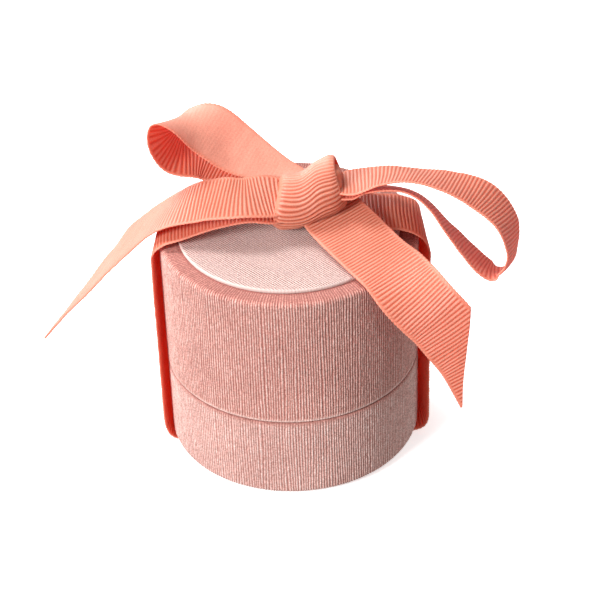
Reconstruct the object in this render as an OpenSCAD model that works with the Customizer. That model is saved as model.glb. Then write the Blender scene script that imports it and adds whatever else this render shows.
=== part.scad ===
// Round velvet ring box with a lift-off lid, tied with a grosgrain ribbon bow.
// Millimetres, +Z up. The origin is on the box's axis, on the surface it stands on.

/* [Box] */
// Outside diameter of the covered box
box_d = 60; // [58:0.5:63]
// Height of the covered base, from its bottom edge to its rim
base_h = 21; // [19:0.5:23]
// Height of the covered lid, from its rim to its top edge
lid_h = 33.3; // [31:0.1:36]
// Width of the dark line between the base and the lid
seam_gap = 0.2; // [0.15:0.05:0.4]

/* [Board and cloth] */
// Thickness of the rolled board walls
wall_t = 1.8; // [1.6:0.1:2]
// Thickness of the velvet, with its glue and pile
velvet_t = 0.8; // [0.6:0.1:0.9]
// How far the raised disc on the lid stands above the rim around it
disc_rise = 0.9; // [0.6:0.1:1.5]
// Width of the flat rim around the raised disc
rim_w = 4.3; // [3.5:0.1:5.5]

/* [Inside] */
// Height of the collar that stands above the base's rim
collar_rise = 12.5; // [10:0.5:14]
// Thickness of the collar tube
collar_t = 1.5; // [1.2:0.1:1.8]
// Width of the slot that grips the ring
slot_w = 1.6; // [1:0.2:3]

/* [Ribbon] */
// Width of the ribbon
ribbon_w = 15; // [13:0.5:15.5]
// Thickness of the ribbon
ribbon_t = 0.4; // [0.3:0.05:0.5]

/* [Hidden] */

$fn = 96;

// Radii, from the outside in
outer_r = box_d / 2;
wall_r = outer_r - velvet_t;
inner_r = wall_r - wall_t;
tuck_r = inner_r - velvet_t;
collar_velvet_t = 0.5;
collar_gap = 0.3;
collar_velvet_r = tuck_r - collar_gap;
collar_r = collar_velvet_r - collar_velvet_t;
collar_inner_r = collar_r - collar_t;
fit_gap = 0.2;

// The cloth's turned edges: how far it folds in, and the roundings at the edge and the rim
fold_w = 6;
fold_gap = 0.1;
fold_r = outer_r - fold_w;
edge_r = 1.1;
rim_r = 0.5;
tuck_h = 8.5;

// Heights, from the ground up. The ribbon lies between the ground and the foot disc.
strap_gap = 0.05;
foot_t = 0.5;
foot_z = ribbon_t + strap_gap;
base_z = foot_z + foot_t;
base_top = base_z + base_h;
lid_z = base_top + seam_gap;
lid_top = lid_z + lid_h;
disc_r = outer_r - rim_w;
disc_top = lid_top + disc_rise;
board_t = 2;

// Inside the base
floor_top = base_z + velvet_t + board_t;
collar_top = base_top + collar_rise;
collar_lining_h = 12;
collar_edge_r = 0.5;
insert_r = collar_inner_r - fit_gap;
card_t = 1;
cushion_drop = 1.2;
cushion_h = 12.5;
cushion_top = collar_top - cushion_drop;
cushion_z = cushion_top - cushion_h;
foam_top = cushion_z - card_t;
cushion_gap = 0.4;
cushion_lift = 0.1;
cushion_r = collar_inner_r - collar_velvet_t - cushion_gap;
cushion_round = 4;
cushion_foot_round = 1;

// Inside the lid
lining_t = 0.6;
ceiling_z = lid_top - velvet_t - board_t;
ceiling_pad_h = 2.4;
ceiling_edge_r = 1.9;

// Under the raised disc: how much smaller the pad is than its cloth
pad_inset = 0.5;
pad_top = lid_top + disc_rise / 2;
disc_edge_r = disc_rise * 0.6;

// The ribbon's stations are written for a box this wide, with its top edge this high
drawn_d = 60;
drawn_top = 55.45;
plan_scale = box_d / drawn_d;
height_scale = lid_top / drawn_top;
steps = 5;
under_z = ribbon_t / 2 + strap_gap / 2;

// The band, from the knot to the left, down, under the box and up on the right.
// Each station is x and z of the ribbon's middle, then the angle that its width turns from +Y.
band = [
    [-2.5, 62, 0], [-9, 62.5, 0], [-17, 61, 0], [-24, 58.5, 0], [-28.5, 57, 0], [-30.5, 54.5, 5],
    [-31, 50, 5], [-31, 30, 5], [-31, 8, 5], [-30.5, 3, 5], [-30, 1, 0],
    [-28.5, 0.3, 0], [-25, under_z, 0], [-15, under_z, 0], [15, under_z, 0], [25, under_z, 0],
    [28.5, 0.3, 0], [30.5, 1.5, -5],
    [31, 4, -10], [31, 9, -10], [31, 30, -10], [31, 48, -10], [31.5, 53, -5],
    [30, 57, 0], [26, 59, 0], [22, 59.5, 0], [14.5, 60, 0]
];
left_top_end = 6;
left_foot = 8;
right_foot = 19;
right_top_end = 21;
band_end = len(band) - 1;

// The bow's ribbons. Each station is x, y and z of the ribbon's middle, then the direction of its
// width: the angle from +Y towards +X, and the angle above level. Where a sixth value is given, it is
// the share of the full width that is left, because the ribbon is gathered towards the knot.
loop_left = [
    [-2.5, 8.5, 66.5, 15, 30, 0.55], [-11, 12, 70, 25, 30, 0.85], [-18, 14.5, 74.5, 30, 15, 1],
    [-24, 16, 76, 30, -10, 1], [-27.5, 16.5, 75, 30, -20, 1], [-28, 15.5, 71.5, 30, -15, 1],
    [-25, 15, 67.5, 30, -5, 1], [-18.5, 15, 66, 25, 5, 1], [-10, 12, 65.5, 20, 20, 0.75],
    [-2.5, 8.5, 65, 15, 30, 0.55]
];
loop_right = [
    [15, 1, 67, 0, -10], [22, 1, 68.5, 10, -15], [29, 0, 69, 15, -20],
    [36, -2, 68.5, 15, -15], [44, -5, 66, 25, -10], [49.5, -9, 61, 25, -20],
    [50.5, -12, 54.5, 15, -30], [48, -13, 50.5, 15, -25], [44, -12, 51.5, 15, -20],
    [37, -7, 58, 10, -25], [32, -3, 63, 10, -30], [27, -1, 65.5, 10, -30],
    [20, 0.5, 65.5, 5, -25], [15, 1, 65, 5, -15]
];
tail_left = [
    [-3, -0.5, 65, 5, 10, 0.9], [-10, -1.5, 65.5, 10, 5, 1], [-18, -0.5, 64.5, 20, 10, 1],
    [-28, 2, 60, 25, 10, 1], [-39, 9.5, 46.5, 20, 15, 1],
    [-45, 13.5, 37, 20, 10, 1], [-51, 16, 29, 15, 0, 1], [-59, 19, 18, 15, 0, 1]
];
tail_right = [
    [11, -4, 61, 65, 10], [19, -16.5, 59, 60, 10], [23, -22, 58, 60, 15],
    [26, -26, 56, 70, 25], [29.5, -29, 53, 80, 35], [33, -30.5, 49.5, 85, 35],
    [36.5, -31.5, 45, 85, 30], [40, -32, 40, 80, 30], [44, -33, 32, 75, 25]
];
left_cut = 0.77;
right_cut = 0.65;
tip_width = 0.03;

// The knot's sections: x, then the middle, half depth and half height of the section, and how far
// its top leans towards +X
knot_sections = [
    [-2, 0, 63, 7, 6, 0.3], [3, 0, 63.5, 7, 6, 0], [7, 1, 65, 7.5, 6, -0.5],
    [10.5, 1, 66, 6.5, 5.5, -1], [12.5, 1.5, 67, 5.5, 4.5, -1.5]
];
knot_sides = 28;

// Catmull-Rom point between b and c
function blend4(a, b, c, d, t) =
    0.5 * (2 * b + (c - a) * t + (2 * a - 5 * b + 4 * c - d) * t * t
           + (3 * b - 3 * c + d - a) * t * t * t);

// A station of a path, carried on in a straight line past either end
function station(path, i) =
    i < 0 ? 2 * path[0] - path[1]
    : i >= len(path) ? 2 * path[len(path) - 1] - path[len(path) - 2]
    : path[i];

// A point on a path, where u counts stations
function along(path, u) =
    let (i = min(floor(u), len(path) - 2))
    blend4(station(path, i - 1), station(path, i), station(path, i + 1),
           station(path, i + 2), u - i);

function unit(v) = v / norm(v);
function middle(s) = [s[0] * plan_scale, s[1] * plan_scale, s[2] * height_scale];
function heading(path, u) =
    unit(middle(along(path, u + 0.05)) - middle(along(path, u - 0.05)));

// The way that a station's width points
function width_way(s) =
    [sin(s[3]) * cos(s[4]), cos(s[3]) * cos(s[4]), sin(s[4])];

// The four corners of a ribbon's section, between two fractions of its half width
function ribbon_ring(path, u, low, high) =
    let (s = along(path, u),
         c = middle(s),
         t = heading(path, u),
         raw = width_way(s),
         share = is_undef(s[5]) ? 1 : s[5],
         w = unit(raw - t * (raw * t)) * ribbon_w / 2 * share,
         n = unit(cross(t, w)) * ribbon_t / 2)
    [c + w * low + n, c + w * high + n, c + w * high - n, c + w * low - n];

// How much of the width is left, past the start of a slanting cut
function cut_width(u, last, cut) =
    u <= cut * last ? 1 : 1 - 2 * (1 - tip_width) * (u / last - cut) / (1 - cut);

// Arc points, for the rounded corners of a turned outline
function arc(x, y, r, from, to, n = 6) =
    [for (i = [0:n]) let (a = from + (to - from) * i / n) [x + r * cos(a), y + r * sin(a)]];

// A closed solid through rings of points
module loft(rings) {
    k = len(rings[0]);
    last = len(rings) - 1;
    sides = [for (i = [0:last - 1], j = [0:k - 1], h = [0, 1])
        let (a = i * k + j, b = i * k + (j + 1) % k)
        h == 0 ? [a, b, b + k] : [a, b + k, a + k]];
    caps = [[for (j = [k - 1:-1:0]) j], [for (j = [0:k - 1]) last * k + j]];
    polyhedron(points = [for (r = rings, p = r) p], faces = concat(caps, sides), convexity = 6);
}

// A stretch of ribbon between two stations of its path
module ribbon(path, from, to, cut = 1) {
    count = (to - from) * steps;
    loft([for (i = [0:count]) let (u = from + i / steps)
        ribbon_ring(path, u, -1, cut_width(u, to, cut))]);
}

// The band's stations, all in the plane y = 0
band_path = [for (p = band) [p[0], 0, p[1], p[2], 0]];

module tube(r_out, r_in, z0, z1) {
    rotate_extrude() translate([r_in, z0]) square([r_out - r_in, z1 - z0]);
}

module disc(r, z0, z1) {
    translate([0, 0, z0]) cylinder(r = r, h = z1 - z0);
}

module base_wall() {
    color("#c9b49a") tube(wall_r, inner_r, base_z + velvet_t, base_top - velvet_t);
}

module base_floor() {
    color("#c9b49a") disc(inner_r, base_z + velvet_t, floor_top);
}

// The side wrap: turned under the base, and over the rim to the inside
module base_velvet() {
    color("#d99a88") rotate_extrude() polygon(concat(
        [[tuck_r, base_top - tuck_h]],
        arc(tuck_r + rim_r, base_top - rim_r, rim_r, 180, 90),
        arc(outer_r - rim_r, base_top - rim_r, rim_r, 90, 0),
        arc(outer_r - edge_r, base_z + edge_r, edge_r, 0, -90),
        [[fold_r, base_z], [fold_r, base_z + velvet_t],
         [wall_r, base_z + velvet_t], [wall_r, base_top - velvet_t],
         [inner_r, base_top - velvet_t], [inner_r, base_top - tuck_h]]));
}

// The flat disc that covers the turned-under edge
module base_foot_disc() {
    color("#b98476") {
        disc(disc_r, foot_z, base_z);
        disc(fold_r - fold_gap, foot_z, base_z + velvet_t);
    }
}

module collar_tube() {
    color("#d8c6ae") tube(collar_r, collar_inner_r, floor_top, collar_top - collar_velvet_t);
}

// Lining over the collar's top edge, down both sides
module collar_velvet() {
    in_r = collar_inner_r - collar_velvet_t;
    color("#e3b7a8") rotate_extrude() polygon(concat(
        [[in_r, collar_top - collar_lining_h]],
        arc(in_r + collar_edge_r, collar_top - collar_edge_r, collar_edge_r, 180, 90),
        arc(collar_velvet_r - collar_edge_r, collar_top - collar_edge_r, collar_edge_r, 90, 0),
        [[collar_velvet_r, base_top - tuck_h], [collar_r, base_top - tuck_h],
         [collar_r, collar_top - collar_velvet_t],
         [collar_inner_r, collar_top - collar_velvet_t],
         [collar_inner_r, collar_top - collar_lining_h]]));
}

module insert_foam() {
    color("#efe6d8") disc(insert_r, floor_top, foam_top);
}

module insert_board() {
    color("#d8c6ae") disc(insert_r, foam_top, cushion_z);
}

// Half of the round ring cushion; side is -1 for the front half, 1 for the back half
module half_cushion(side) {
    foot = cushion_foot_round;
    reach = cushion_r + 1;
    bottom = cushion_z + cushion_lift;
    intersection() {
        rotate_extrude() polygon(concat(
            [[0, bottom]], arc(cushion_r - foot, bottom + foot, foot, -90, 0),
            arc(cushion_r - cushion_round, cushion_top - cushion_round, cushion_round, 0, 90),
            [[0, cushion_top]]));
        translate([-reach, side > 0 ? slot_w / 2 : -reach, bottom - 1])
            cube([2 * reach, reach - slot_w / 2, cushion_top - bottom + 2]);
    }
}

module cushion_front() {
    color("#e8c0b0") half_cushion(-1);
}

module cushion_back() {
    color("#e8c0b0") half_cushion(1);
}

module ribbon_under_strap() {
    color("#ef8f76") ribbon(band_path, left_foot, right_foot);
}

module ribbon_side_left() {
    color("#ef8f76") ribbon(band_path, left_top_end, left_foot);
}

module ribbon_side_right() {
    color("#ef8f76") ribbon(band_path, right_foot, right_top_end);
}

module ribbon_top_left() {
    color("#ef8f76") ribbon(band_path, 0, left_top_end);
}

module ribbon_top_right() {
    color("#ef8f76") ribbon(band_path, right_top_end, band_end);
}

module lid_wall() {
    color("#c9b49a") tube(wall_r, inner_r, lid_z + velvet_t, lid_top - velvet_t);
}

module lid_top_board() {
    color("#c9b49a") disc(inner_r, ceiling_z, lid_top - velvet_t);
}

// The side wrap: turned in over the rim, and over the top edge under the raised disc
module lid_velvet() {
    color("#d99a88") rotate_extrude() polygon(concat(
        [[inner_r, lid_z + tuck_h], [inner_r, lid_z + velvet_t], [wall_r, lid_z + velvet_t],
         [wall_r, lid_top - velvet_t], [fold_r, lid_top - velvet_t],
         [fold_r, lid_top]],
        arc(outer_r - edge_r, lid_top - edge_r, edge_r, 90, 0),
        arc(outer_r - rim_r, lid_z + rim_r, rim_r, 0, -90),
        arc(tuck_r + rim_r, lid_z + rim_r, rim_r, -90, -180),
        [[tuck_r, lid_z + tuck_h]]));
}

// The card and wadding under the raised disc
module lid_top_pad() {
    color("#efe6d8") {
        disc(fold_r - fold_gap, lid_top - velvet_t, pad_top);
        disc(disc_r - pad_inset, lid_top, pad_top);
    }
}

// The cloth of the raised disc, drawn down over its edge
module lid_top_velvet() {
    color("#e3c3b6") rotate_extrude() polygon(concat(
        [[0, pad_top], [disc_r - pad_inset, pad_top], [disc_r - pad_inset, lid_top],
         [disc_r, lid_top]],
        arc(disc_r - disc_edge_r, disc_top - disc_edge_r, disc_edge_r, 0, 90),
        [[0, disc_top]]));
}

module lid_lining_wall() {
    color("#e3b7a8") tube(inner_r, inner_r - lining_t, lid_z + tuck_h, ceiling_z);
}

// The padded disc in the lid's ceiling, with its lower edge rounded
module lid_lining_pad() {
    r = inner_r - lining_t - fit_gap;
    color("#e8c0b0") rotate_extrude() polygon(concat(
        [[0, ceiling_z], [0, ceiling_z - ceiling_pad_h]],
        arc(r - ceiling_edge_r, ceiling_z - ceiling_pad_h + ceiling_edge_r, ceiling_edge_r, -90, 0),
        [[r, ceiling_z]]));
}

// One oval ring of the knot
function knot_ring(s) =
    [for (i = [0:knot_sides - 1]) let (a = -360 * i / knot_sides)
        [(s[0] + s[5] * sin(a)) * plan_scale, (s[1] + s[3] * cos(a)) * plan_scale,
         s[2] * height_scale + s[4] * sin(a)]];

module bow_knot() {
    color("#ef8f76") loft([for (i = [0:(len(knot_sections) - 1) * 3])
        knot_ring(along(knot_sections, i / 3))]);
}

module bow_loop_left() {
    color("#f39a80") ribbon(loop_left, 0, len(loop_left) - 1);
}

module bow_loop_right() {
    color("#f39a80") ribbon(loop_right, 0, len(loop_right) - 1);
}

module bow_tail_left() {
    color("#f6b19a") ribbon(tail_left, 0, len(tail_left) - 1, left_cut);
}

module bow_tail_right() {
    color("#f6b19a") ribbon(tail_right, 0, len(tail_right) - 1, right_cut);
}

base_wall();
base_floor();
base_velvet();
base_foot_disc();
collar_tube();
collar_velvet();
insert_foam();
insert_board();
cushion_front();
cushion_back();
ribbon_under_strap();
ribbon_side_left();
ribbon_side_right();
lid_wall();
lid_top_board();
lid_velvet();
lid_top_pad();
lid_top_velvet();
lid_lining_wall();
lid_lining_pad();
ribbon_top_left();
ribbon_top_right();
bow_knot();
bow_loop_left();
bow_loop_right();
bow_tail_left();
bow_tail_right();
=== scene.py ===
import math

import bpy
import numpy as np
from mathutils import Matrix, Vector


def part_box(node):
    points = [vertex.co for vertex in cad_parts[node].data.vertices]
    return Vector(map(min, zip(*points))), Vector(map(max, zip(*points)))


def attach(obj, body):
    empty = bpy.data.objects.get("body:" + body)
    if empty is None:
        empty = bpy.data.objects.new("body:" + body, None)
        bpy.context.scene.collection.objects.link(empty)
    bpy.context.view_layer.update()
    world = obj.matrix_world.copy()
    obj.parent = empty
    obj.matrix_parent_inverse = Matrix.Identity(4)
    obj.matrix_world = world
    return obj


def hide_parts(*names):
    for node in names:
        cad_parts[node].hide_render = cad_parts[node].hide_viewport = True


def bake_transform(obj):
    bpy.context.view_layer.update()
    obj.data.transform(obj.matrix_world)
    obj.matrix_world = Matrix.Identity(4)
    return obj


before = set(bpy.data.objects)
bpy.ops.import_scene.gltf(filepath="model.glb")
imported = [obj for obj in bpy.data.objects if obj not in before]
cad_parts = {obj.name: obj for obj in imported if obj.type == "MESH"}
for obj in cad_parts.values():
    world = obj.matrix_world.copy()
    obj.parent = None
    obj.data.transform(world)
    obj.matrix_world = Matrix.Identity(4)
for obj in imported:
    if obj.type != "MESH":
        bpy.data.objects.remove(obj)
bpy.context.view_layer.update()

MM = 0.001

# ---- Sizes, in millimetres, from the CAD frame ----


def span(node):
    """Lowest and highest corners of a CAD node, in millimetres."""
    low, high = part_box(node)
    return np.array(low) / MM, np.array(high) / MM


base_low, base_high = span("base_velvet")
lid_low, lid_high = span("lid_velvet")
disc_low, disc_high = span("lid_top_velvet")
collar_low, collar_high = span("collar_velvet")
tube_high = span("collar_tube")[1]
cushion_low, cushion_high = span("cushion_back")
lining_low, lining_high = span("lid_lining_wall")
ceiling_low, ceiling_high = span("lid_lining_pad")
foam_low, foam_high = span("insert_foam")
pad_high = span("lid_top_pad")[1]
wall_high = span("lid_wall")[1]
under_low, under_high = span("ribbon_under_strap")

outer_r = lid_high[0]
wall_r = wall_high[0]
velvet_t = outer_r - wall_r
wall_t = 1.8
inner_r = wall_r - wall_t
tuck_r = inner_r - velvet_t
seam_z = (lid_low[2] + base_high[2]) / 2
disc_r = disc_high[0]
ribbon_w = under_high[1] - under_low[1]

# How far in the side cloths are folded over the top and bottom boards
fold_r = outer_r - 6
# How far they run up inside the lid's rim and down inside the base's
tuck_h = 8.5
# Roundings of the box's outer edges, and of the rims that meet at the seam
edge_r = 1.1
rim_r = 0.5
# Outlines that close in the middle stop this far from the axis
axis_gap = 0.02

# The collar's lining goes over the collar's rim, which is as wide as the collar's wall and its inner
# lining together, and down inside it
collar_r = collar_high[0]
collar_rim_w = 2.0
collar_in_r = tube_high[0] - collar_rim_w
collar_velvet_t = 0.5
collar_tuck = 12
lining_r = lining_high[0]
lining_t = 0.6

# The ribbon was drawn on a box of this radius and height
drawn_r = 30
drawn_top = 55.45
plan_scale = outer_r / drawn_r
height_scale = lid_high[2] / drawn_top

# ---- Smooth seeded noise ----

CELLS = 64
noise_table = np.random.default_rng(11).uniform(-1, 1, (8, CELLS, CELLS))


def noise(x, y, layer):
    """Smooth noise from -1 to 1, one cell per unit, repeating every CELLS units."""
    x, y = np.broadcast_arrays(x, y)
    ix, iy = np.floor(x).astype(int), np.floor(y).astype(int)
    fx, fy = x - ix, y - iy
    fx, fy = fx * fx * (3 - 2 * fx), fy * fy * (3 - 2 * fy)
    t = noise_table[layer]
    low = t[ix % CELLS, iy % CELLS] * (1 - fx) + t[(ix + 1) % CELLS, iy % CELLS] * fx
    high = t[ix % CELLS, (iy + 1) % CELLS] * (1 - fx) + t[(ix + 1) % CELLS, (iy + 1) % CELLS] * fx
    return low * (1 - fy) + high * fy


# ---- Meshes ----


def grid_object(name, points, around=False, across=False, caps=False, **values):
    """A smooth quad mesh through points[i, j], closed around i or across j, with named float values.
    caps closes its first and last rows."""
    rows, columns = points.shape[:2]
    index = np.arange(rows * columns).reshape(rows, columns)
    if around:
        index = np.vstack([index, index[:1]])
    if across:
        index = np.hstack([index, index[:, :1]])
    quads = np.stack([index[:-1, :-1], index[:-1, 1:], index[1:, 1:], index[1:, :-1]], -1)
    faces = quads.reshape(-1, 4).tolist()
    if caps:
        faces.append(index[0, :columns][::-1].tolist())
        faces.append(index[rows - 1, :columns].tolist())
    mesh = bpy.data.meshes.new(name)
    mesh.from_pydata((points.reshape(-1, 3) * MM).tolist(), [], faces)
    mesh.polygons.foreach_set("use_smooth", [True] * len(mesh.polygons))
    for key, value in values.items():
        attribute = mesh.attributes.new(key, "FLOAT", "POINT")
        value = np.broadcast_to(value, points.shape[:2])
        attribute.data.foreach_set("value", value.reshape(-1).astype(np.float32))
    mesh.validate()
    mesh.update()
    obj = bpy.data.objects.new(name, mesh)
    bpy.context.scene.collection.objects.link(obj)
    return obj


def arc(x, y, r, start, end, n=8):
    """Points of an arc, angles in degrees."""
    a = np.radians(np.linspace(start, end, n + 1))
    return np.stack([x + r * np.cos(a), y + r * np.sin(a)], 1)


def line(a, b, step):
    """Points from a up to, but not including, b."""
    a, b = np.array(a, float), np.array(b, float)
    n = max(1, int(np.ceil(np.linalg.norm(b - a) / step)))
    return a + (b - a) * np.arange(n)[:, None] / n


def outline_normals(outline):
    """Unit normals of a closed outline, pointing to its right-hand side."""
    t = np.roll(outline, -1, 0) - np.roll(outline, 1, 0)
    t /= np.maximum(np.linalg.norm(t, axis=1), 1e-9)[:, None]
    return np.stack([t[:, 1], -t[:, 0]], 1)


def lathe(name, outline, segments, relief=None, nap=0):
    """A closed outline of (radius, height) turned about Z. relief(angle, outline) gives the height of
    the pile and how ribbed it is, both over [outline, angle]; nap is how much paler the pile is painted,
    as bounce light and sheen."""
    outline = np.array(outline, float)
    theta = np.arange(segments) * 2 * np.pi / segments
    normal = outline_normals(outline)
    lift, ridge = (0, 0) if relief is None else relief(theta[None, :], outline)
    lift = np.broadcast_to(lift, (len(outline), segments))
    r = outline[:, :1] + normal[:, :1] * lift
    z = outline[:, 1:] + normal[:, 1:] * lift
    points = np.stack([r * np.cos(theta), r * np.sin(theta), z], -1)
    return grid_object(name, points, around=True, across=True, ridge=ridge, nap=nap)


# ---- Velvet, and the outlines of the cloths and pads ----

wales = 300
wale_segments = wales * 5
wale_depth = 0.22
# Step of the side cloths' outlines where the wales show
wale_step = 0.62
# The painted highlight along the lid's lip stands this far above the seam
lip_highlight_up = 0.5
# How much paler than the lid's the base's pile is painted, from 0 to 1, as painted bounce light and
# sheen
base_nap = 0.7
# How the flat rim looks, where the wales are pressed down: its low tone paints the rim darker than the
# side, as shade
flat_painted_shade = 0.18


def wale_relief(lip_highlight_z=None):
    """Upright wales, slightly wavy and broken, with painted shade in their grooves and a painted sheen
    on their tops. They are pressed down on the flat rim, which is painted darker as shade, and fade
    under the raised disc and by the seam, where the dark groove colour is painted shade in those
    creases. A lip at lip_highlight_z is smooth and painted pale, as a highlight."""

    def relief(theta, outline):
        around = theta / (2 * np.pi)
        radius, height = outline[:, :1], outline[:, 1:]
        wander = 0.4 * noise(around * CELLS * 2, height / 16, 0)
        wander = wander + 0.1 * noise(around * CELLS * 8, height, 1)
        broken = 0.8 + 0.2 * noise(around * CELLS * 10, height / 0.9, 2)
        ridge = (0.5 + 0.5 * np.cos(2 * np.pi * (around * wales + wander))) * broken
        # shown fades the wales out by the disc's foot and by the seam; the colour goes to the dark
        # groove tone there, a painted shade in those creases
        shown = np.clip((radius - disc_r - 0.2) / 0.4, 0, 1)
        shown = shown * np.clip(np.abs(height - seam_z), 0, 1)
        side = np.clip((radius - outer_r + edge_r) / edge_r, 0, 1)
        # On the flat rim the tone is painted low, darker than the side, as shade
        flat = flat_painted_shade + 0.4 * (ridge - 0.5)
        tone = flat + (ridge - flat) * side
        # The lip's pale tone is a painted highlight
        lip = 0
        if lip_highlight_z is not None:
            lip = np.exp(-((height - lip_highlight_z) / 0.35) ** 2) * (radius > wall_r)
        pile = wale_depth * (ridge - 0.5) * shown * (0.4 + 0.6 * side)
        return pile, np.maximum(tone * shown, 0.8 * lip)

    return relief


def lid_cloth():
    """Outline of the lid's side cloth: over the top's edge, down the side and up inside the rim."""
    top, low = lid_high[2], lid_low[2]
    return np.vstack([
        line((inner_r, low + tuck_h), (inner_r, low + velvet_t), 2),
        line((inner_r, low + velvet_t), (wall_r, low + velvet_t), 1),
        line((wall_r, low + velvet_t), (wall_r, top - velvet_t), 6),
        line((wall_r, top - velvet_t), (fold_r, top - velvet_t), 2),
        line((fold_r, top - velvet_t), (fold_r, top), 0.5),
        line((fold_r, top), (outer_r - edge_r, top), 0.5),
        arc(outer_r - edge_r, top - edge_r, edge_r, 90, 0)[:-1],
        line((outer_r, top - edge_r), (outer_r, low + rim_r), wale_step),
        arc(outer_r - rim_r, low + rim_r, rim_r, 0, -90, 5)[:-1],
        line((outer_r - rim_r, low), (tuck_r + rim_r, low), 1),
        arc(tuck_r + rim_r, low + rim_r, rim_r, -90, -180, 5)[:-1],
        line((tuck_r, low + rim_r), (tuck_r, low + tuck_h), 2),
        [(tuck_r, low + tuck_h)],
    ])[::-1]


def base_cloth():
    """Outline of the base's side cloth: down inside the rim, over the side and under the floor."""
    top, low = base_high[2], base_low[2]
    return np.vstack([
        line((tuck_r, top - tuck_h), (tuck_r, top - rim_r), 2),
        arc(tuck_r + rim_r, top - rim_r, rim_r, 180, 90, 5)[:-1],
        line((tuck_r + rim_r, top), (outer_r - rim_r, top), 1),
        arc(outer_r - rim_r, top - rim_r, rim_r, 90, 0, 5)[:-1],
        line((outer_r, top - rim_r), (outer_r, low + edge_r), wale_step),
        arc(outer_r - edge_r, low + edge_r, edge_r, 0, -90)[:-1],
        line((outer_r - edge_r, low), (fold_r, low), 1),
        line((fold_r, low), (fold_r, low + velvet_t), 0.5),
        line((fold_r, low + velvet_t), (wall_r, low + velvet_t), 2),
        line((wall_r, low + velvet_t), (wall_r, top - velvet_t), 6),
        line((wall_r, top - velvet_t), (inner_r, top - velvet_t), 1),
        line((inner_r, top - velvet_t), (inner_r, top - tuck_h), 2),
        [(inner_r, top - tuck_h)],
    ])[::-1]


def top_cloth():
    """Outline of the raised disc's cloth, slightly crowned, with a soft rolled edge."""
    r, top, low = disc_r, disc_high[2], disc_low[2]
    under = pad_high[2]
    cloth_t, crown = 0.5, 0.25
    foot_r = r - 0.1
    round_r = (top - low) * 0.55
    face = line((axis_gap, top + crown), (r - round_r, top), 0.5)
    face[:, 1] = top + crown * (1 - (face[:, 0] / (r - round_r)) ** 2)
    return np.vstack([
        face,
        arc(r - round_r, top - round_r, round_r, 90, 0, 8)[:-1],
        line((r, top - round_r), (foot_r, low), 0.2),
        [(foot_r, low)],
        line((r - cloth_t, low), (r - cloth_t, under), 0.3),
        line((r - cloth_t, under), (axis_gap, under), 3),
        [(axis_gap, under)],
    ])


def smooth_edge(theta, outline):
    """No pile relief; the rolled edge is marked, where the weave is pulled smooth and the cloth is
    painted pale, partly as a highlight along the edge.
    """
    return 0 * theta, np.clip((outline[:, :1] - disc_r + 0.5) / 0.4, 0, 1) + 0 * theta


def collar_lining():
    """Outline of the collar's lining: up its outside, over its rounded lip and down its inside."""
    r, in_r = collar_r, collar_in_r
    top, low = collar_high[2], collar_low[2]
    lip_r = 0.45
    end = top - collar_tuck
    under = top - collar_velvet_t
    return np.vstack([
        line((in_r, end), (in_r, top - lip_r), 1),
        arc(in_r + lip_r, top - lip_r, lip_r, 180, 90, 5)[:-1],
        line((in_r + lip_r, top), (r - lip_r, top), 1),
        arc(r - lip_r, top - lip_r, lip_r, 90, 0, 5)[:-1],
        line((r, top - lip_r), (r, low), 1),
        line((r, low), (r - collar_velvet_t, low), 1),
        line((r - collar_velvet_t, low), (r - collar_velvet_t, under), 3),
        line((r - collar_velvet_t, under), (in_r + collar_velvet_t, under), 1),
        line((in_r + collar_velvet_t, under), (in_r + collar_velvet_t, end), 3),
        [(in_r + collar_velvet_t, end)],
    ])


def lid_lining():
    """Outline of the lid's lining, a plain band inside its wall."""
    top, low = lining_high[2], lining_low[2]
    in_r = lining_r - lining_t
    return np.vstack([
        line((lining_r, low), (lining_r, top), 1.5),
        line((lining_r, top), (in_r, top), 1),
        line((in_r, top), (in_r, low), 1.5),
        [(in_r, low)],
    ])[::-1]


def soft_disc(low, high, radius, round_low, round_high, crown=0.0):
    """Outline of a round pad with rounded edges. crown raises its high side, or if it is negative
    lets its low side hang."""
    face = line((axis_gap, high), (radius - round_high, high), 1.2)
    foot = line((radius - round_low, low), (axis_gap, low), 1.2)
    face[:, 1] += max(crown, 0) * (1 - (face[:, 0] / (radius - round_high)) ** 2)
    foot[:, 1] += min(crown, 0) * (1 - (foot[:, 0] / (radius - round_low)) ** 2)
    return np.vstack([
        face,
        arc(radius - round_high, high - round_high, round_high, 90, 0, 6)[:-1],
        line((radius, high - round_high), (radius, low + round_low), 1.5),
        arc(radius - round_low, low + round_low, round_low, 0, -90, 6)[:-1],
        foot,
        [(axis_gap, low + min(crown, 0))],
    ])


# ---- The ring cushion ----


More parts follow.
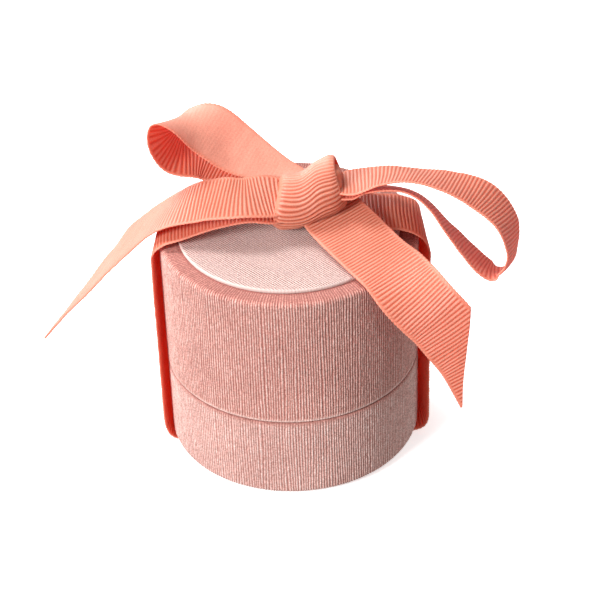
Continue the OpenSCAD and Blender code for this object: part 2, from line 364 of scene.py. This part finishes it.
def cushion(name, side):
    """Half of the round cushion: crowned, its sides pulled in, its slot face bulging a little."""
    low, high = cushion_low[2], cushion_high[2]
    radius, slot = cushion_high[0], cushion_low[1]
    foot_gap = 0.1
    segments = 120
    phi = np.arange(segments) * 2 * np.pi / segments
    direction = np.stack([np.cos(phi), np.sin(phi)], 1)

    # How far the half reaches from its middle, to the round side or to the slot. The two are joined
    # by a power mean, whose power says how sharp the corners are
    middle = slot + 0.44 * (radius - slot)
    sharpness = 14.0
    b = middle * direction[:, 1]
    to_arc = -b + np.sqrt(b * b + radius * radius - middle * middle)
    towards_slot = np.maximum(-direction[:, 1], 1e-6)
    to_slot = np.where(direction[:, 1] < -1e-6, (middle - slot) / towards_slot, 1e3)
    reach = (to_arc ** -sharpness + to_slot ** -sharpness) ** (-1 / sharpness)

    # Shares of that reach and of the height: the crown, its rounded shoulder, and the side that pulls
    # in and turns under
    shoulder = 0.72
    profile = [(0.02, 1.0)]
    profile += [(t, 1 - 0.05 * t * t) for t in np.linspace(0.12, shoulder, 8)]
    profile += [(shoulder + (1 - shoulder) * math.sin(a), 0.974 - 0.3 * (1 - math.cos(a)))
                for a in np.linspace(0.15, math.pi / 2, 9)]
    profile += [(0.985, 0.5), (0.975, 0.3), (0.985, 0.14), (0.96, 0.04)]
    profile += [(0.9, 0.0), (0.5, 0.0), (0.02, 0.0)]
    profile = np.array(profile)

    scale = profile[:, :1] * reach[None, :]
    x = scale * direction[:, 0]
    y = middle + scale * direction[:, 1]
    z = low + foot_gap + (high - low - foot_gap) * profile[:, 1:] + 0 * x
    z = z + 0.12 * noise(x / 4, y / 4, 3) * (profile[:, 1:] > 0.3)
    points = np.stack([x, side * y, z], -1)
    return grid_object(name, points[:, ::side], across=True, caps=True, ridge=0.5)


# ---- Ribbon ----

rib = 0.86
rib_steps = 6
# Half of the ribbon's thickness between its ribs, and what a rib adds to it
core_half = 0.11
rib_half = 0.16
# Share of the half width where the smooth selvedge begins
selvedge_from = 0.9

# Stations along each ribbon, the same as in part.scad: the middle's x, y and z on the drawn box, the
# turn and the rise of its width in degrees and, where it is gathered, its share of the full width.
# The band goes round in the plane y = 0, so its route has only x, z and the turn
band_route = [
    (-2.5, 62, 0), (-9, 62.5, 0), (-17, 61, 0), (-24, 58.5, 0), (-28.5, 57, 0), (-30.5, 54.5, 5),
    (-31, 50, 5), (-31, 30, 5), (-31, 8, 5), (-30.5, 3, 5), (-30, 1, 0),
    (-28.5, 0.3, 0), (-25, 0.225, 0), (-15, 0.225, 0), (15, 0.225, 0), (25, 0.225, 0),
    (28.5, 0.3, 0), (30.5, 1.5, -5),
    (31, 4, -10), (31, 9, -10), (31, 30, -10), (31, 48, -10), (31.5, 53, -5),
    (30, 57, 0), (26, 59, 0), (22, 59.5, 0), (14.5, 60, 0),
]
band_stations = [(x, 0, z, turn, 0) for x, z, turn in band_route]
loop_left_stations = [
    (-2.5, 8.5, 66.5, 15, 30, 0.55), (-11, 12, 70, 25, 30, 0.85), (-18, 14.5, 74.5, 30, 15, 1),
    (-24, 16, 76, 30, -10, 1), (-27.5, 16.5, 75, 30, -20, 1), (-28, 15.5, 71.5, 30, -15, 1),
    (-25, 15, 67.5, 30, -5, 1), (-18.5, 15, 66, 25, 5, 1), (-10, 12, 65.5, 20, 20, 0.75),
    (-2.5, 8.5, 65, 15, 30, 0.55),
]
loop_right_stations = [
    (15, 1, 67, 0, -10), (22, 1, 68.5, 10, -15), (29, 0, 69, 15, -20),
    (36, -2, 68.5, 15, -15), (44, -5, 66, 25, -10), (49.5, -9, 61, 25, -20),
    (50.5, -12, 54.5, 15, -30), (48, -13, 50.5, 15, -25), (44, -12, 51.5, 15, -20),
    (37, -7, 58, 10, -25), (32, -3, 63, 10, -30), (27, -1, 65.5, 10, -30),
    (20, 0.5, 65.5, 5, -25), (15, 1, 65, 5, -15),
]
tail_left_stations = [
    (-3, -0.5, 65, 5, 10, 0.9), (-10, -1.5, 65.5, 10, 5), (-18, -0.5, 64.5, 20, 10),
    (-28, 2, 60, 25, 10), (-39, 9.5, 46.5, 20, 15),
    (-45, 13.5, 37, 20, 10), (-51, 16, 29, 15, 0), (-59, 19, 18, 15, 0),
]
tail_right_stations = [
    (11, -4, 61, 65, 10), (19, -16.5, 59, 60, 10), (23, -22, 58, 60, 15),
    (26, -26, 56, 70, 25), (29.5, -29, 53, 80, 35), (33, -30.5, 49.5, 85, 35),
    (36.5, -31.5, 45, 85, 30), (40, -32, 40, 80, 30), (44, -33, 32, 75, 25),
]
# Share of each tail's length where its slanting cut begins
left_cut = 0.77
right_cut = 0.65

# Where each ribbon runs on inside the knot, past the ends of its CAD solid: before its first station,
# and after its last
hidden_ends = {
    "ribbon_band": ([(3, 0, 62, 0, 0, 0.4)], [(8, 1.5, 60.5, 0, 0, 0.3)]),
    "bow_loop_left": ([(4, 5.5, 65, 5, 15, 0.4)], [(3, 5, 63.5, 5, 15, 0.4)]),
    "bow_loop_right": ([(9, 1, 66.5, 0, -5, 0.4)], [(9, 1, 65, 0, -5, 0.4)]),
    "bow_tail_left": ([(3, 0, 64, 5, 10, 0.5)], []),
    "bow_tail_right": ([(7, 2.5, 63, 65, 5, 0.85)], []),
}


def curve(stations, u):
    """Catmull-Rom values at u, which counts stations. A station without a width share has 1."""
    s = np.array([station if len(station) == 6 else (*station, 1) for station in stations], float)
    s = np.vstack([2 * s[0] - s[1], s, 2 * s[-1] - s[-2]])
    i = np.minimum(np.floor(u).astype(int), len(stations) - 2)
    t = (u - i)[:, None]
    a, b, c, d = s[i], s[i + 1], s[i + 2], s[i + 3]
    squared = (2 * a - 5 * b + 4 * c - d) * t ** 2
    cubed = (3 * b - 3 * c + d - a) * t ** 3
    return 0.5 * (2 * b + (c - a) * t + squared + cubed)


def unit(v):
    """The vectors along the last axis, made one long."""
    return v / np.maximum(np.linalg.norm(v, axis=-1, keepdims=True), 1e-9)


def ribbon_frames(stations):
    """Evenly spaced places along a ribbon: distance, station count, middle, width and face."""
    fine = np.linspace(0, len(stations) - 1, len(stations) * 60)
    scale = np.array([plan_scale, plan_scale, height_scale])
    middle = curve(stations, fine)[:, :3] * scale
    run = np.concatenate([[0], np.cumsum(np.linalg.norm(np.diff(middle, axis=0), axis=1))])
    count = int(round(run[-1] / rib * rib_steps))
    s = np.linspace(0, run[-1], count + 1)
    u = np.interp(s, run, fine)
    values = curve(stations, u)
    middle = values[:, :3] * scale
    heading = unit(np.gradient(middle, axis=0))
    turn, rise = np.radians(values[:, 3]), np.radians(values[:, 4])
    width = np.stack([np.sin(turn) * np.cos(rise), np.cos(turn) * np.cos(rise), np.sin(rise)], 1)
    width = unit(width - heading * np.sum(width * heading, 1, keepdims=True))
    face = unit(np.cross(heading, width))
    return s, u, middle, width * values[:, 5:], face


def ribbon(name, stations, cut=None, slack=0.15, under_ribs=1.0):
    """A grosgrain ribbon: real ribs across it, a scalloped selvedge, and a slanting cut end if asked.
    cut is a share of the CAD solid's length, slack is how far the ribbon waves, and under_ribs is how
    much of the ribs shows on the lower face. Gives the piece, its length and its area if cut."""
    before, after = hidden_ends[name]
    s, u, middle, width, face = ribbon_frames(before + stations + after)
    u = u - len(before)
    last = len(stations) - 1
    round_from = 0.955
    edge = np.array([0.92, round_from, 0.985, 1])
    v = np.concatenate([-edge[::-1], np.linspace(-0.86, 0.86, 15), edge])

    # The cut takes the far edge nearly to the near one
    high = np.ones_like(s)
    if cut:
        past = np.clip((u / last - cut) / (1 - cut), 0, 1)
        high = 1 - 1.94 * past
    across = -1 + (v[None, :] + 1) / 2 * (high[:, None] + 1)
    along = s[:, None]

    phase = along + 0.1 * noise(along / 5, across * 1.5, 0) + 0.12 * across ** 2
    ridge = 0.5 + 0.5 * np.cos(2 * np.pi * phase / rib)
    ridge_down = 1 - under_ribs * (1 - ridge)
    bead = 0.5 + 0.5 * np.cos(2 * np.pi * phase / rib + np.pi)
    selvedge = np.clip((np.abs(across) - selvedge_from) / 0.06, 0, 1)
    past_round = ((np.abs(v) - round_from) / (1 - round_from)).clip(0, 1)
    rounded = np.sqrt(np.clip(1 - past_round ** 2, 0.02, 1))[None, :]
    edge_half = selvedge * (0.08 + 0.07 * bead)
    half_up = (core_half + rib_half * ridge * (1 - selvedge) + edge_half) * rounded
    half_down = (core_half + rib_half * ridge_down * (1 - selvedge) + edge_half) * rounded
    offset = slack * noise(along / 7, across * 1.2 + 3, 1) + 0.05 * noise(along / 1.7, across * 3, 0)

    reach = across * (1 + 0.012 * bead * selvedge) * ribbon_w / 2
    base = middle[:, None, :] + width[:, None, :] * reach[..., None]
    upper = base + face[:, None, :] * (offset + half_up)[..., None]
    lower = base + face[:, None, :] * (offset - half_down)[..., None]
    points = np.concatenate([upper, lower[:, ::-1]], 1)
    # shade_up and shade_down carry the ribs into the colour, as painted shade in the grooves and a
    # painted highlight on the tops
    shade_up = ridge * (1 - selvedge) + bead * selvedge
    shade_down = ridge_down * (1 - selvedge) + bead * selvedge
    ridge_both = np.concatenate([shade_up, shade_down[:, ::-1]], 1)
    selvedge_both = np.concatenate([selvedge, selvedge[:, ::-1]], 1)
    obj = grid_object(name + "_ribbon", points, across=True, caps=True,
                      ridge=ridge_both, selvedge=selvedge_both)
    length = s[-1]
    area = None
    if cut:
        area = float(np.mean((high + 1) / 2) * length * ribbon_w * MM * MM)
    return obj, length, area


# ---- The knot ----

# Sections of the knot from left to right: the middle's x, y and z, half its depth, half its height,
# and how far it leans
knot_sections = [
    (-2, 0, 63, 7, 6, 0.3), (3, 0, 63.5, 7, 6, 0), (7, 1, 65, 7.5, 6, -0.5),
    (10.5, 1, 66, 6.5, 5.5, -1), (12.5, 1.5, 67, 5.5, 4.5, -1.5),
]
# Half depth and half height of the ring that shares the ribs out
knot_depth = 7
knot_height = 5
knot_ribs = 40
knot_columns = 40
# Thickness of the ribbon gathered round the knot, with its ribs
wrap_t = 0.42


def knot_rings(inset):
    """Rings of the knot's wrap, from its left edge to its right, drawn in by inset. Gives the points,
    how ribbed they are, where the selvedges are, and the distance round."""
    u = np.linspace(0, len(knot_sections) - 1, knot_columns + 1)
    sections = curve(knot_sections, u)

    # Angles that share the ribs out evenly
    steps = knot_ribs * rib_steps
    fine = np.linspace(0, 2 * np.pi, 2000)
    ring = np.stack([knot_depth * np.cos(fine), knot_height * np.sin(fine)], 1)
    run = np.concatenate([[0], np.cumsum(np.linalg.norm(np.diff(ring, axis=0), axis=1))])
    a = np.interp(np.arange(steps) / steps * run[-1], run, fine)

    # The ribs swing a little as they go round, and the left edge is drawn out in front
    x = sections[:, None, 0] + 0 * a
    swing = a[None, :] + 0.06 * np.sin(x * 0.5) + 0.05 * noise(x / 4, a[None, :] * 2, 5)
    left = np.clip(1 - np.linspace(0, 1, knot_columns + 1) / 0.4, 0, 1)[:, None]
    x = x + sections[:, None, 5] * np.sin(swing) - 1.3 * left * np.clip(-np.cos(swing - 0.3), 0, 1)

    # The ribs are pulled nearly smooth on top, where they take the pale rib-top colour nearly all over,
    # a painted highlight on the knot's top
    edge = np.abs(np.linspace(-1, 1, knot_columns + 1))[:, None]
    selvedge = np.clip((edge - selvedge_from) / 0.07, 0, 1) + 0 * a
    roll = np.clip((edge - 0.8) / 0.2, 0, 1) ** 2
    pulled = 1 - 0.7 * np.exp(-((swing - 1.1) / 0.6) ** 2)
    ridge = 0.5 + 0.5 * np.cos(2 * np.pi * np.arange(steps) / rib_steps)[None, :]
    ridge = 1 - pulled * (1 - ridge)
    lift = 0.28 * ridge * (1 - selvedge) + 0.05 * (1 - ridge) * selvedge - 0.8 * roll * (x < 5)

    depth = sections[:, None, 3] + lift - inset
    height = sections[:, None, 4] + lift - inset
    y = sections[:, None, 1] + depth * np.cos(swing)
    z = sections[:, None, 2] + height * np.sin(swing)

    # The top has a peak towards the right and a dip before it
    top = np.exp(-((swing - 1.0) / 0.5) ** 2)
    peak = np.exp(-((x - 10) / 2.2) ** 2)
    z = z + top * (1.2 * peak - 0.3 * np.exp(-((x - 4) / 2.0) ** 2))
    y = y + top * 0.6 * peak
    z = z + 0.15 * noise(x / 5, a[None, :] * 1.5, 6)
    points = np.stack([x, y, z], -1)
    points[..., :2] *= plan_scale
    return points, ridge * (1 - selvedge) + 0.5 * selvedge, selvedge, run[-1]


def knot_wrap():
    """The ribbon wound round the knot, with an outer and an inner face, and the distance round it."""
    outside, ridge, selvedge, around = knot_rings(0)
    inside, ridge_in, selvedge_in, _ = knot_rings(wrap_t)
    points = np.concatenate([outside, inside[::-1]], 0)
    ridges = np.concatenate([ridge, ridge_in[::-1]], 0)
    edges = np.concatenate([selvedge, selvedge_in[::-1]], 0)
    obj = grid_object("bow_knot_wrap", points, around=True, across=True, ridge=ridges, selvedge=edges)
    return obj, around


def knot_core():
    """The folded ribbon inside the wrap: a gathered mass with lengthwise pleats."""
    segments, columns = 96, 16
    pleats = 7
    inset, end_taper = 1.0, 1.2
    a = np.arange(segments) * 2 * np.pi / segments
    u = np.linspace(0, len(knot_sections) - 1, columns)
    sections = curve(knot_sections, u)
    pleat = 0.3 * np.cos(pleats * a)[None, :] + 0.2 * noise(a[None, :] * 3, u[:, None], 4)
    end = np.clip((np.abs(np.linspace(-1, 1, columns)) - 0.8) / 0.2, 0, 1)[:, None]
    depth = sections[:, None, 3] - inset - end_taper * end + pleat
    height = sections[:, None, 4] - inset - end_taper * end + pleat
    x = sections[:, None, 0] + 0 * a
    y = sections[:, None, 1] + depth * np.cos(a)
    z = sections[:, None, 2] + height * np.sin(a)
    points = np.stack([x, y, z], -1)
    points[..., :2] *= plan_scale
    return grid_object("bow_knot_core", points, across=True, caps=True, ridge=0.4, selvedge=0)


# ---- Materials ----


class Nodes:
    """A small helper that adds nodes to one material and joins them up."""

    def __init__(self, name):
        self.material = bpy.data.materials.new(name)
        self.material.use_nodes = True
        self.tree = self.material.node_tree
        self.shader = self.tree.nodes["Principled BSDF"]

    def add(self, kind, sockets=None, **settings):
        node = self.tree.nodes.new(kind)
        for key, value in settings.items():
            setattr(node, key, value)
        for key, value in (sockets or {}).items():
            node.inputs[key].default_value = value
        return node

    def join(self, out, into):
        self.tree.links.new(out, into)

    def value(self, name):
        """A named value of the mesh."""
        return self.add("ShaderNodeAttribute", attribute_name=name).outputs["Fac"]

    def place(self, **mapped):
        """Places on the object, in metres, scaled or rotated if asked."""
        where = self.add("ShaderNodeTexCoord").outputs["Object"]
        if not mapped:
            return where
        mapping = self.add("ShaderNodeMapping", mapped)
        self.join(where, mapping.inputs["Vector"])
        return mapping.outputs["Vector"]

    def noise(self, scale, detail, **mapped):
        texture = self.add("ShaderNodeTexNoise", {"Scale": scale, "Detail": detail})
        self.join(self.place(**mapped), texture.inputs["Vector"])
        return texture.outputs["Fac"]

    def ramp(self, source, *stops):
        """Colours at positions from 0 to 1 of the source."""
        ramp = self.add("ShaderNodeValToRGB")
        elements = ramp.color_ramp.elements
        while len(elements) < len(stops):
            elements.new(0.5)
        for element, (position, colour) in zip(elements, stops):
            element.position = position
            element.color = (*colour, 1)
        self.join(source, ramp.inputs["Fac"])
        return ramp.outputs["Color"]

    def blend(self, fac, a, b, mode="MIX"):
        """Two colours blended by fac; each of the three is a constant or a socket."""
        mix = self.add("ShaderNodeMix", data_type="RGBA", blend_type=mode)
        for source, socket in ((fac, 0), (a, 6), (b, 7)):
            if isinstance(source, (int, float)):
                mix.inputs[socket].default_value = source
            elif isinstance(source, tuple):
                mix.inputs[socket].default_value = (*source, 1)
            else:
                self.join(source, mix.inputs[socket])
        return mix.outputs[2]

    def bump(self, source, strength, distance):
        """Bump of that distance, in millimetres."""
        bump = self.add("ShaderNodeBump", {"Strength": strength, "Distance": distance * MM})
        self.join(source, bump.inputs["Height"])
        self.join(bump.outputs["Normal"], self.shader.inputs["Normal"])

    def surface(self, colour, roughness, sheen=0.0, sheen_tint=(1, 1, 1), specular=0.3):
        """The finished material; its constants go on the shader's own sockets."""
        self.join(colour, self.shader.inputs["Base Color"])
        self.shader.inputs["Roughness"].default_value = roughness
        self.shader.inputs["Sheen Weight"].default_value = sheen
        self.shader.inputs["Sheen Roughness"].default_value = 0.4
        self.shader.inputs["Sheen Tint"].default_value = (*sheen_tint, 1)
        self.shader.inputs["Specular IOR Level"].default_value = specular
        return self.material


def ribbed_velvet():
    """Pink velvet with painted shade between its wales and a painted sheen on their tops; where nap is
    set it is painted paler all over, as bounce light and sheen.
    """
    n = Nodes("ribbed_velvet")
    ridge = n.value("ridge")
    grain = n.noise(2600, 1)
    # The dark end of each ramp is painted shade in the grooves and the pale end a painted sheen on the
    # wale tops; the low values on the flat rim and in the creases at the seam and the disc's foot are
    # painted shade too, and the lid's lip a painted highlight
    wales_painted_shade = n.ramp(ridge, (0.0, (0.35, 0.12, 0.1)), (0.45, (0.68, 0.34, 0.29)),
                          (0.95, (0.83, 0.64, 0.59)))
    wales_painted_bounce = n.ramp(ridge, (0.0, (0.44, 0.2, 0.17)), (0.45, (0.76, 0.46, 0.41)),
                        (0.95, (0.87, 0.74, 0.7)))
    # nap blends to the paler copy, a painted bounce light and sheen
    wales_colour = n.blend(n.value("nap"), wales_painted_shade, wales_painted_bounce)
    speckle = n.ramp(grain, (0.3, (0.64, 0.6, 0.58)), (0.7, (1.16, 1.16, 1.16)))
    patches = n.ramp(n.noise(60, 2), (0.3, (0.93, 0.9, 0.9)), (0.7, (1.05, 1.05, 1.05)))
    colour = n.blend(1.0, wales_colour, speckle, "MULTIPLY")
    colour = n.blend(1.0, colour, patches, "MULTIPLY")
    n.bump(grain, 0.5, 0.12)
    return n.surface(colour, 0.9, 0.5, (1.0, 0.85, 0.8), 0.1)


def crossed_velvet():
    """Pale velvet with a fine weave that crosses on the slant."""
    n = Nodes("top_velvet")
    threads = []
    for angle in (0.82, -0.74):
        sockets = {"Scale": 560, "Distortion": 2.5, "Detail": 2, "Detail Scale": 1.5}
        wave = n.add("ShaderNodeTexWave", sockets, wave_type="BANDS", bands_direction="X")
        n.join(n.place(Rotation=(0, 0, angle)), wave.inputs["Vector"])
        threads.append(wave.outputs["Fac"])
    weave = n.add("ShaderNodeMath", {1: 0.6}, operation="MULTIPLY_ADD")
    n.join(threads[0], weave.inputs[0])
    n.join(threads[1], weave.inputs[2])
    grain = n.noise(2400, 1)
    colour = n.ramp(weave.outputs[0], (0.1, (0.22, 0.08, 0.07)), (0.7, (0.52, 0.33, 0.29)),
                    (1.0, (0.69, 0.54, 0.5)))
    speckle = n.ramp(grain, (0.3, (0.8, 0.78, 0.78)), (0.7, (1.08, 1.08, 1.08)))
    colour = n.blend(1.0, colour, speckle, "MULTIPLY")
    # The rolled edge takes one pale colour: the weave pulled smooth, and partly a painted highlight
    # along the edge
    colour = n.blend(n.value("ridge"), colour, (0.68, 0.53, 0.49))
    n.bump(weave.outputs[0], 0.5, 0.1)
    return n.surface(colour, 0.85, 0.6, (1.0, 0.95, 0.93), 0.15)


def lining_velvet():
    """Short plain pile in soft patches."""
    n = Nodes("lining_velvet")
    grain = n.noise(1800, 3)
    colour = n.ramp(grain, (0.3, (0.62, 0.4, 0.35)), (0.7, (0.83, 0.62, 0.55)))
    folds = n.ramp(n.noise(90, 2), (0.3, (0.9, 0.88, 0.88)), (0.7, (1.05, 1.05, 1.05)))
    n.bump(grain, 0.4, 0.15)
    return n.surface(n.blend(1.0, colour, folds, "MULTIPLY"), 0.9, 0.6, (1.0, 0.88, 0.84), 0.1)


def grosgrain():
    """Coral ribbon with painted shade between its ribs and a painted highlight on their tops; light that
    comes through it turns red.
    """
    n = Nodes("ribbon")
    ridge = n.value("ridge")
    # The dark end of the ramp is painted shade between the ribs, the pale end a painted highlight on
    # their tops
    ribs = n.ramp(ridge, (0.0, (0.52, 0.12, 0.06)), (0.4, (0.8, 0.26, 0.15)), (0.95, (0.86, 0.43, 0.31)))
    threads = n.noise(3200, 1)
    shade = n.ramp(threads, (0.3, (0.86, 0.82, 0.82)), (0.7, (1.06, 1.06, 1.06)))
    coral = n.blend(n.value("selvedge"), ribs, (0.85, 0.36, 0.24))
    n.bump(threads, 0.35, 0.06)
    material = n.surface(n.blend(1.0, coral, shade, "MULTIPLY"), 0.45, 0.22, (1.0, 0.68, 0.55), 0.55)
    through = n.add("ShaderNodeBsdfTranslucent", {"Color": (0.95, 0.12, 0.05, 1)})
    mixed = n.add("ShaderNodeMixShader", {"Fac": 0.34})
    n.join(n.shader.outputs[0], mixed.inputs[1])
    n.join(through.outputs[0], mixed.inputs[2])
    n.join(mixed.outputs[0], n.tree.nodes["Material Output"].inputs["Surface"])
    return material


def greyboard():
    """Rolled board with fibres that run upwards."""
    n = Nodes("board")
    fibres = n.noise(900, 4, Scale=(1, 1, 0.3))
    colour = n.ramp(fibres, (0.3, (0.42, 0.35, 0.27)), (0.7, (0.6, 0.52, 0.42)))
    n.bump(fibres, 0.2, 0.08)
    return n.surface(colour, 0.9)


def foot_cloth():
    """Dull cloth below the base."""
    n = Nodes("foot_cloth")
    grain = n.noise(1500, 3)
    colour = n.ramp(grain, (0.3, (0.38, 0.2, 0.17)), (0.7, (0.52, 0.3, 0.26)))
    n.bump(grain, 0.3, 0.1)
    return n.surface(colour, 0.95, 0.3, (1, 0.85, 0.8))


def open_foam():
    """Pale foam with small cells."""
    n = Nodes("foam")
    cells = n.add("ShaderNodeTexVoronoi", {"Scale": 1400})
    n.join(n.place(), cells.inputs["Vector"])
    colour = n.ramp(cells.outputs["Distance"], (0.0, (0.62, 0.57, 0.5)), (0.6, (0.88, 0.85, 0.79)))
    n.bump(cells.outputs["Distance"], 0.6, 0.3)
    return n.surface(colour, 0.95)


def floor_paper():
    """White paper that glows a little, as a lit sweep does, so that the shadow on it stays faint."""
    n = Nodes("floor_paper")
    tone = n.ramp(n.noise(5, 2), (0.3, (0.95, 0.95, 0.95)), (0.7, (0.97, 0.97, 0.97)))
    n.shader.inputs["Emission Color"].default_value = (1, 1, 1, 1)
    n.shader.inputs["Emission Strength"].default_value = 0.55
    return n.surface(tone, 0.8, specular=0.1)


finishes = {
    "ribbed_velvet": ribbed_velvet(),
    "top_velvet": crossed_velvet(),
    "lining_velvet": lining_velvet(),
    "ribbon": grosgrain(),
    "board": greyboard(),
    "foot_cloth": foot_cloth(),
    "foam": open_foam(),
}


def dress(obj, finish, body, *nodes):
    """Gives a piece its finish, its body and the CAD nodes that it stands for."""
    obj.data.materials.clear()
    obj.data.materials.append(finishes[finish])
    if body:
        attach(obj, body)
    if nodes:
        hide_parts(*nodes)
    return obj


# ---- Pieces: cloth on the box ----

lid_side = lathe("lid_side_cloth", lid_cloth(), wale_segments, wale_relief(seam_z + lip_highlight_up))
dress(lid_side, "ribbed_velvet", "lid", "lid_velvet")

# The base's cloth is painted paler than the lid's, as bounce light and sheen
base_side = lathe("base_side_cloth", base_cloth(), wale_segments, wale_relief(), base_nap)
dress(base_side, "ribbed_velvet", "base", "base_velvet")

disc_segments = 360
disc_cloth = lathe("lid_disc_cloth", top_cloth(), disc_segments, smooth_edge)
dress(disc_cloth, "top_velvet", "lid", "lid_top_velvet")

# ---- Pieces: inside the box ----

# Steps round the pieces that show when the lid is up, and round those that never show
inside_segments = 240
hidden_segments = 180

collar_cloth = lathe("collar_lining", collar_lining(), inside_segments)
dress(collar_cloth, "lining_velvet", "base", "collar_velvet")

lining_cloth = lathe("lid_lining_cloth", lid_lining(), inside_segments)
dress(lining_cloth, "lining_velvet", "lid", "lid_lining_wall")

for name, side in (("cushion_front", -1), ("cushion_back", 1)):
    half = dress(cushion(name + "_pad", side), "lining_velvet", "base", name)

hang = 0.5
ceiling = soft_disc(ceiling_low[2] + hang, ceiling_high[2], ceiling_high[0], 1.7, 0.3, crown=-hang)
ceiling_pad = lathe("lid_ceiling_pad", ceiling, inside_segments)
dress(ceiling_pad, "lining_velvet", "lid", "lid_lining_pad")

filler = soft_disc(foam_low[2], foam_high[2], foam_high[0], 0.4, 0.4)
filler_block = lathe("insert_filler", filler, hidden_segments)
dress(filler_block, "foam", "base", "insert_foam")

# The wadding stays clear of the fold round it and of the cloth over it
wadding = soft_disc(lid_high[2] - velvet_t, pad_high[2] - 0.05, fold_r - 0.1, 0.2, 0.2)
wadding_disc = lathe("lid_disc_wadding", wadding, hidden_segments)
dress(wadding_disc, "foam", "lid", "lid_top_pad")

# CAD nodes that stay, with a better material
carried_finish = {
    "base_wall": "board",
    "base_floor": "board",
    "collar_tube": "board",
    "insert_board": "board",
    "lid_wall": "board",
    "lid_top_board": "board",
    "base_foot_disc": "foot_cloth",
}
for node, finish in carried_finish.items():
    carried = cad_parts[node]
    if not carried.data.materials:
        carried.data.materials.append(None)
    for material_slot in carried.material_slots:
        material_slot.link = "OBJECT"
        material_slot.material = finishes[finish]

# ---- Pieces: ribbon ----

band, band_length, _ = ribbon("ribbon_band", band_stations, slack=0.0)
dress(band, "ribbon", None, "ribbon_under_strap", "ribbon_side_left", "ribbon_side_right",
      "ribbon_top_left", "ribbon_top_right")
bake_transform(band)

# The left loop's outside is the lower face, which is nearly smooth there: its ribs are low, and it takes
# the pale rib-top colour all over, a painted highlight
for name, stations, cut, held, under_ribs in (
    ("bow_loop_left", loop_left_stations, None, "folded", 0.12),
    ("bow_loop_right", loop_right_stations, None, "folded", 1),
    ("bow_tail_left", tail_left_stations, left_cut, "draped", 1),
    ("bow_tail_right", tail_right_stations, right_cut, "draped", 1),
):
    piece, length, area = ribbon(name, stations, cut, under_ribs=under_ribs)
    dress(piece, "ribbon", "lid", name)

wrap, wrap_girth = knot_wrap()
dress(wrap, "ribbon", "lid", "bow_knot")
dress(knot_core(), "ribbon", "lid")

# ---- Floor, light and camera ----

bpy.ops.mesh.primitive_plane_add(size=6, location=(0, 0, 0))
floor = bpy.context.object
floor.name = "floor"
floor.data.materials.append(floor_paper())
floor.visible_diffuse = False
floor.visible_glossy = False


def sun(name, come_from, strength, softness):
    """A sun that shines from that direction; softness is its angle in degrees."""
    light = bpy.data.lights.new(name, "SUN")
    light.energy = strength
    light.angle = math.radians(softness)
    obj = bpy.data.objects.new(name, light)
    bpy.context.scene.collection.objects.link(obj)
    obj.rotation_euler = Vector(come_from).to_track_quat("Z", "Y").to_euler()
    return obj


# The key light is high on the left and a little behind, the fill is low on the left in front, and the
# back light glances over the bow
sun("key", (-0.42, 0.3, 0.9), 2.85, 24)
sun("fill", (-0.72, -0.62, 0.45), 3.7, 18)
sun("back", (-0.5, 0.85, 0.25), 1.8, 40)

world = bpy.data.worlds.new("studio")
bpy.context.scene.world = world
world.use_nodes = True
world.node_tree.nodes["Background"].inputs["Color"].default_value = (1, 1, 1, 1)
world.node_tree.nodes["Background"].inputs["Strength"].default_value = 0.5

bpy.context.scene.view_settings.view_transform = "Standard"

# A long lens half a metre away, looking down on the lid, with the box a little tilted in the frame
camera_place = (0.0021, -0.3866, 0.3127)
camera_tilt = 54.33
camera_roll = -1.96
camera_data = bpy.data.cameras.new("camera")
camera_data.lens = 120.5
camera_data.sensor_width = 36
camera_data.clip_start = 0.01
camera = bpy.data.objects.new("camera", camera_data)
bpy.context.scene.collection.objects.link(camera)
tilt = Matrix.Rotation(math.radians(camera_tilt), 4, "X")
roll = Matrix.Rotation(math.radians(camera_roll), 4, "Z")
camera.matrix_world = Matrix.Translation(camera_place) @ tilt @ roll
bpy.context.scene.camera = camera
